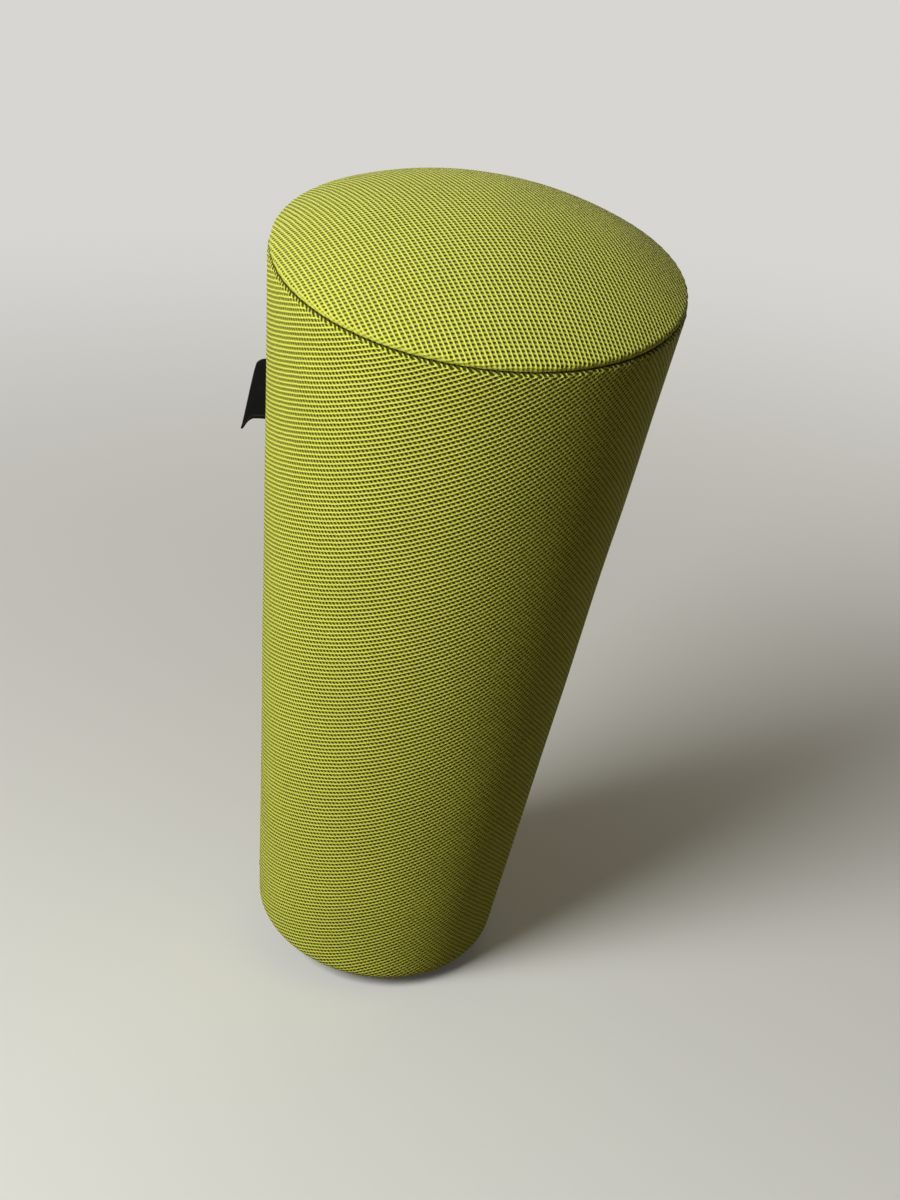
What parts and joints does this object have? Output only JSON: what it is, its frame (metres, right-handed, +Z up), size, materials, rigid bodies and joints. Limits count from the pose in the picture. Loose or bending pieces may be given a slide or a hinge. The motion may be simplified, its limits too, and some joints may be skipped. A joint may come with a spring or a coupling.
{
  "type": "leaning stool",
  "caption": "Padded stool shaped as a cone that widens upwards, with a domed seat and a weighted foot on a shallow conical sole. It rests leaning and rocks under its user.",
  "frame": {"origin": "where the stool's axis meets the floor, which is the point of the sole's cone", "axes": "+Z up from the floor, +X towards the side that the resting stool leans to"},
  "size_m": [0.3605, 0.2992, 0.6804],
  "materials": {
    "cover_fabric": "matte",
    "label_cloth": "matte",
    "binding_tape": "matte",
    "zip_tape": "matte",
    "zip_teeth": "satin",
    "zip_metal": "satin",
    "elastic": "matte",
    "foam": "matte",
    "plywood": "matte",
    "shell_plastic": "matte",
    "steel": "satin",
    "brass": "satin",
    "iron": "matte",
    "sole_rubber": "matte"
  },
  "bodies": {
    "stool": {"top_cover": "cover_fabric", "side_cover": "cover_fabric", "seam_binding": "binding_tape", "hem_elastic": "elastic", "flag_label": "label_cloth", "zip_tape_left": "zip_tape", "zip_tape_right": "zip_tape", "zip_teeth_left": "zip_teeth", "zip_teeth_right": "zip_teeth", "zip_top_stop": "zip_metal", "zip_bottom_stops": "zip_metal", "seat_foam": "foam", "seat_board": "plywood", "seat_screws": "steel", "side_padding": "foam", "body_shell": "shell_plastic", "base_board": "plywood", "board_inserts": "brass", "ballast_disc": "iron", "ballast_washer": "steel", "ballast_bolt": "steel", "ballast_nut": "steel", "sole_carrier": "shell_plastic", "sole_screws": "steel", "sole": "sole_rubber"},
    "zip_slider": {"zip_slider": "zip_metal"},
    "zip_pull": {"zip_pull": "zip_metal"}
  },
  "joints": [
    {"name": "zip_slide", "type": "slide", "parent": "stool", "child": "zip_slider", "axis": [0.1446, -0.0664, 0.9873], "range_m": [0, 0.415]},
    {"name": "pull_swing", "type": "hinge", "parent": "zip_slider", "child": "zip_pull", "pos_m": [-0.04756, -0.08343, 0.06151], "axis": [-0.8041, 0.5736, 0.1563], "range_deg": [-4, 160]}
  ]
}
